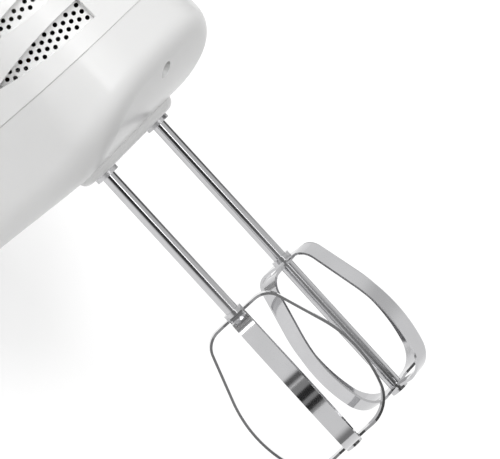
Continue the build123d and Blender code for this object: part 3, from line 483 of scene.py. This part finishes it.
class StudioLooks(bpy.types.PropertyGroup):
    """Light and camera of the studio."""

    camera_distance: bpy.props.FloatProperty(
        name="Camera distance", description="From the lens to the middle of the picture", default=1.6,
        unit="LENGTH",
    )
    key_watts: bpy.props.FloatProperty(
        name="Key light", description="Power of the large soft lamp", default=26.0, unit="POWER",
    )
    top_watts: bpy.props.FloatProperty(
        name="Top light", description="Power of the lamp overhead", default=13.5, unit="POWER",
    )
    fill_watts: bpy.props.FloatProperty(
        name="Fill light", description="Power of the lamp beside the camera", default=1.2, unit="POWER",
    )
    room_light: bpy.props.FloatProperty(
        name="Room light", description="Strength of the even light all round", default=0.32, min=0,
    )
    floor_colour: bpy.props.FloatVectorProperty(
        name="Floor", description="Colour of the floor", subtype="COLOR", size=3,
        default=(0.93, 0.93, 0.93), min=0, max=1,
    )
    floor_glow: bpy.props.FloatProperty(
        name="Floor glow", description="White that the camera sees where no shadow falls", default=1.2, min=0,
    )
    floor_shadow: bpy.props.FloatProperty(
        name="Shadow share", description="How much of the floor's own shading shows", default=0.28,
        min=0, max=1, subtype="FACTOR",
    )
    near_shadow: bpy.props.FloatProperty(
        name="Near shadow share", description="The same beside the heel", default=0.45, min=0, max=1,
        subtype="FACTOR",
    )
    shadow_reach: bpy.props.FloatProperty(
        name="Shadow reach", description="How far from the heel the near share holds", default=0.06,
        unit="LENGTH",
    )


class MIXER_OT_dress_shell(bpy.types.Operator):
    """Finish the moulded body, handle and vent panels"""

    bl_idname = "mixer.dress_shell"
    bl_label = "Dress Shell"

    def execute(self, context):
        looks = context.scene.mixer_looks
        white = moulded_plastic("white_shell", looks.shell_colour, looks.shell_gloss)
        paint(white, ["lower_housing", "upper_housing", "handle", "handle_cover"])
        panel_colour = tint(looks.shell_colour, PANEL_TINT)
        panel = moulded_plastic("white_panel", panel_colour, looks.shell_gloss + PANEL_DULLER)
        paint(panel, both("vent_grille"))
        inlet_colour = tint(looks.control_colour, INLET_TINT)
        soft = moulded_plastic("soft_inlet", inlet_colour, gloss=0.5, grain=0.2)
        paint(soft, ["cord_inlet"])
        return {"FINISHED"}


class MIXER_OT_add_seam_lip(bpy.types.Operator):
    """Add the moulded lip that shows inside the seam between the two halves"""

    bl_idname = "mixer.add_seam_lip"
    bl_label = "Add Seam Lip"

    def execute(self, context):
        looks = context.scene.mixer_looks
        lower_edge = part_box("lower_housing")[0][0]
        cut = lower_edge - SEAM_GAP - SEAM_CLEAR
        drop = SEAM_GAP + SEAM_CLEAR
        shape = seam_band("upper_housing", cut, cut - SEAM_GAP, looks.seam_depth, drop)
        # Painted shade: the lip gets a darker tint of the shell colour because it sits inside the seam
        lip_painted_shade_colour = tint(looks.shell_colour, LIP_PAINTED_SHADE)
        shade = moulded_plastic("seam_shaded_white", lip_painted_shade_colour, looks.shell_gloss + LIP_DULLER)
        mesh_piece("seam_lip", shape, shade, "body")
        return {"FINISHED"}


class MIXER_OT_dress_controls(bpy.types.Operator):
    """Finish the eject button and speed slider, and add their thumb ribs"""

    bl_idname = "mixer.dress_controls"
    bl_label = "Dress Controls"

    def execute(self, context):
        looks = context.scene.mixer_looks
        grey = moulded_plastic("control_white", looks.control_colour, gloss=0.32)
        paint(grey, ["eject_button", "speed_slider"])
        for node, body in (("eject_button", "eject_gear"), ("speed_slider", "speed_knob")):
            shape = ribs(node, looks.rib_count, looks.rib_proud)
            mesh_piece(f"{node}_ribs", shape, grey, body)
        black = moulded_plastic("switch_black", SWITCH_BLACK, gloss=0.45, grain=0.2)
        paint(black, ["speed_switch"])
        return {"FINISHED"}


class MIXER_OT_dress_beaters(bpy.types.Operator):
    """Finish the plated beater shafts and loops"""

    bl_idname = "mixer.dress_beaters"
    bl_label = "Dress Beaters"

    def execute(self, context):
        looks = context.scene.mixer_looks
        chrome = polished_chrome("beater_chrome", looks.chrome_colour)
        paint(chrome, both("beater_shaft") + both("beater_outer_loop") + both("beater_inner_loop"))
        return {"FINISHED"}


class MIXER_OT_dress_drive(bpy.types.Operator):
    """Finish the spindles, worm gear and eject gear"""

    bl_idname = "mixer.dress_drive"
    bl_label = "Dress Drive"

    def execute(self, context):
        cross_steel = turned_steel("spindle_steel", SPINDLE_STEEL, direction="X")
        paint(cross_steel, both("spindle") + both("ejector_pin") + ["eject_spring", "housing_screws"])
        shaft_steel = turned_steel("shaft_steel", SHAFT_STEEL, direction="Z")
        paint(shaft_steel, ["worm_shaft", "gear_frame", "front_bearing_bracket", "rear_bearing_bracket"])
        nylon = moulded_plastic("gear_nylon", GEAR_NYLON, gloss=0.38, grain=0.1)
        paint(nylon, both("worm_wheel") + ["ejector_fork"])
        bronze = porous_metal("bearing_bronze", BEARING_BRONZE)
        paint(bronze, both("spindle_bush") + both("brush_holder") + ["front_bearing", "rear_bearing"])
        return {"FINISHED"}


class MIXER_OT_add_soft_spring(bpy.types.Operator):
    """Put a copy of the spring, with a mesh of its own, in place of the rigid one"""

    bl_idname = "mixer.add_soft_spring"
    bl_label = "Add Soft Spring"

    def execute(self, context):
        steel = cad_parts["eject_spring"].material_slots[0].material
        coil = mesh_piece("soft_eject_spring", node_shape("eject_spring"), steel, "body")
        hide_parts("eject_spring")
        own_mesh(coil)
        return {"FINISHED"}


class MIXER_OT_dress_motor(bpy.types.Operator):
    """Finish the motor's core, windings, brushes and fan"""

    bl_idname = "mixer.dress_motor"
    bl_label = "Dress Motor"

    def execute(self, context):
        paint(laminated_core("core_sheets", CORE_STEEL), ["stator_core", "armature_core"])
        copper = wound_copper("winding_copper", WINDING_COPPER)
        paint(copper, ["armature_windings", "upper_field_coil", "lower_field_coil"])
        paint(turned_steel("commutator_copper", COMMUTATOR_COPPER, direction="Z"), ["commutator"])
        paint(pressed_carbon("brush_carbon", BRUSH_CARBON), both("carbon_brush"))
        paint(moulded_plastic("fan_black", FAN_BLACK, gloss=0.4, grain=0.15), ["cooling_fan"])
        return {"FINISHED"}


def add_lamp(name, watts, size, place):
    """Square soft lamp that faces the middle of the photo."""
    lamp = bpy.data.lights.new(name, "AREA")
    lamp.energy = watts
    lamp.size = size
    holder = bpy.data.objects.new(name, lamp)
    holder.location = place
    holder.rotation_euler = (PHOTO_CENTRE - place).to_track_quat("-Z", "Y").to_euler()
    bpy.context.collection.objects.link(holder)


def card_finish(name, centre, across, width, tone, rim):
    """Glow with one tone along the middle of a card and another at its rim."""
    finish = Finish(f"{name}_card")
    finish.set("Base Color", BLACK)
    finish.set("Specular IOR Level", 0.0)
    inputs = {0: finish.place(), 1: tuple(centre)}
    offset = finish.node("ShaderNodeVectorMath", {"operation": "SUBTRACT"}, inputs).value()
    inputs = {0: offset, 1: across * (2 / width)}
    share = finish.node("ShaderNodeVectorMath", {"operation": "DOT_PRODUCT"}, inputs).value("Value")
    distance = finish.node("ShaderNodeMath", {"operation": "ABSOLUTE"}, {0: share}).value()
    edge = finish.fade(distance, CARD_CORE, 1.0)
    finish.set("Emission Color", finish.mix(edge, (tone,) * 3, (rim,) * 3))
    finish.set("Emission Strength", 1.0)
    return finish.material


def add_card(name, centre, size, facing, across, tone, rim):
    """Card that only polished surfaces see: they show a streak of its tone with soft edges."""
    shape = bmesh.new()
    turn = Matrix((across.cross(facing), across, facing)).transposed().to_4x4()
    place = Matrix.Translation(centre) @ turn @ Matrix.Diagonal((*size, 1, 1))
    bmesh.ops.create_grid(shape, x_segments=1, y_segments=1, size=0.5, matrix=place)
    flag = make_object(name, shape)
    flag.data.materials.append(card_finish(name, centre, across, size[1], tone, rim))
    flag.visible_camera = False
    flag.visible_diffuse = False
    flag.visible_shadow = False


class MIXER_OT_set_studio(bpy.types.Operator):
    """Make the floor, room light, lamps, cards and camera"""

    bl_idname = "mixer.set_studio"
    bl_label = "Set Studio"

    def execute(self, context):
        studio = context.scene.studio_looks
        self.make_floor(studio)
        self.make_room(context.scene, studio)
        add_lamp("key_lamp", studio.key_watts, KEY_SIZE, PHOTO_CENTRE + KEY_OFFSET)
        add_lamp("top_lamp", studio.top_watts, TOP_SIZE, PHOTO_CENTRE + TOP_OFFSET)
        add_lamp("fill_lamp", studio.fill_watts, FILL_SIZE, PHOTO_CENTRE + FILL_OFFSET)
        for card in CARDS:
            add_card(*card)
        self.make_camera(context.scene, studio)
        context.scene.view_settings.view_transform = "Standard"
        return {"FINISHED"}

    def make_floor(self, studio):
        """Paper that keeps the shadow and is plain white away from it."""
        shape = bmesh.new()
        bmesh.ops.create_grid(shape, x_segments=1, y_segments=1, size=FLOOR_REACH)
        floor = make_object("floor", shape)
        floor.location.z = CAD_BOX[0].z - FLOOR_DROP
        finish = Finish("floor_paper")
        finish.set("Roughness", 0.9)
        finish.shade(finish.noise(scale=300, detail=3.0), studio.floor_colour, low=0.99)
        path = finish.node("ShaderNodeLightPath")
        seen = path.value("Is Camera Ray") + path.value("Is Glossy Ray") + path.value("Is Transmission Ray")
        glow = finish.node("ShaderNodeEmission", None, {"Strength": studio.floor_glow}).value()
        own = Value(finish, finish.shader.outputs["BSDF"])
        inputs = {0: seen * self.white_share(finish, studio), 1: own, 2: glow}
        mixed = finish.node("ShaderNodeMixShader", None, inputs).value()
        finish.feed(finish.tree.nodes["Material Output"].inputs["Surface"], mixed)
        floor.data.materials.append(finish.material)

    def white_share(self, finish, studio):
        """How much plain white shows: less beside the heel, where the shadow lies."""
        inputs = {0: finish.place()}
        away = finish.node("ShaderNodeVectorMath", {"operation": "LENGTH"}, inputs).value("Value")
        near = 1.0 - studio.near_shadow
        far = 1.0 - studio.floor_shadow
        return finish.fade(away, studio.shadow_reach, studio.shadow_reach * SHADOW_FADE, near, far)

    def make_room(self, scene, studio):
        """Even light on the part, and plain white where the camera or a reflection sees the room."""
        world = bpy.data.worlds.new("studio_room")
        scene.world = world
        world.use_nodes = True
        tree = world.node_tree
        even = tree.nodes["Background"]
        even.inputs["Color"].default_value = WHITE
        even.inputs["Strength"].default_value = studio.room_light
        white = tree.nodes.new("ShaderNodeBackground")
        white.inputs["Color"].default_value = WHITE
        white.inputs["Strength"].default_value = 1.0
        path = tree.nodes.new("ShaderNodeLightPath")
        seen = path.outputs["Is Camera Ray"]
        for ray in ("Is Glossy Ray", "Is Transmission Ray"):
            either = tree.nodes.new("ShaderNodeMath")
            either.operation = "MAXIMUM"
            tree.links.new(seen, either.inputs[0])
            tree.links.new(path.outputs[ray], either.inputs[1])
            seen = either.outputs[0]
        mixed = tree.nodes.new("ShaderNodeMixShader")
        for socket, source in zip(mixed.inputs, (seen, even.outputs[0], white.outputs[0])):
            tree.links.new(source, socket)
        tree.links.new(mixed.outputs[0], tree.nodes["World Output"].inputs["Surface"])

    def make_camera(self, scene, studio):
        """Camera that stands where the photograph was taken."""
        lens = bpy.data.cameras.new("photo_camera")
        lens.lens = lens.sensor_width * studio.camera_distance / PHOTO_WIDTH
        lens.clip_start = CLIP_NEAR
        lens.clip_end = CLIP_FAR
        camera = bpy.data.objects.new("photo_camera", lens)
        turn = Matrix((PHOTO_RIGHT, PHOTO_UP, PHOTO_TOWARD)).transposed().to_4x4()
        place = PHOTO_CENTRE + PHOTO_TOWARD * studio.camera_distance
        camera.matrix_world = Matrix.Translation(place) @ turn
        bpy.context.collection.objects.link(camera)
        scene.camera = camera


class MIXER_PT_looks(bpy.types.Panel):
    """Lists the finishes and the studio"""

    bl_idname = "MIXER_PT_looks"
    bl_label = "Hand Mixer"
    bl_space_type = "VIEW_3D"
    bl_region_type = "UI"
    bl_category = "Mixer"

    def draw(self, context):
        for group in (context.scene.mixer_looks, context.scene.studio_looks):
            for name in group.__annotations__:
                self.layout.prop(group, name)
        for operator in OPERATORS:
            self.layout.operator(operator.bl_idname)


OPERATORS = (
    MIXER_OT_dress_shell,
    MIXER_OT_add_seam_lip,
    MIXER_OT_dress_controls,
    MIXER_OT_dress_beaters,
    MIXER_OT_dress_drive,
    MIXER_OT_add_soft_spring,
    MIXER_OT_dress_motor,
    MIXER_OT_set_studio,
)
CLASSES = (MixerLooks, StudioLooks, *OPERATORS, MIXER_PT_looks)


def register():
    for made in CLASSES:
        bpy.utils.register_class(made)
    bpy.types.Scene.mixer_looks = bpy.props.PointerProperty(type=MixerLooks)
    bpy.types.Scene.studio_looks = bpy.props.PointerProperty(type=StudioLooks)


def unregister():
    del bpy.types.Scene.studio_looks
    del bpy.types.Scene.mixer_looks
    for made in reversed(CLASSES):
        bpy.utils.unregister_class(made)


def main():
    register()
    bpy.ops.mixer.dress_shell()
    bpy.ops.mixer.add_seam_lip()
    bpy.ops.mixer.dress_controls()
    bpy.ops.mixer.dress_beaters()
    bpy.ops.mixer.dress_drive()
    bpy.ops.mixer.add_soft_spring()
    bpy.ops.mixer.dress_motor()
    bpy.ops.mixer.set_studio()


if __name__ == "__main__":
    main()
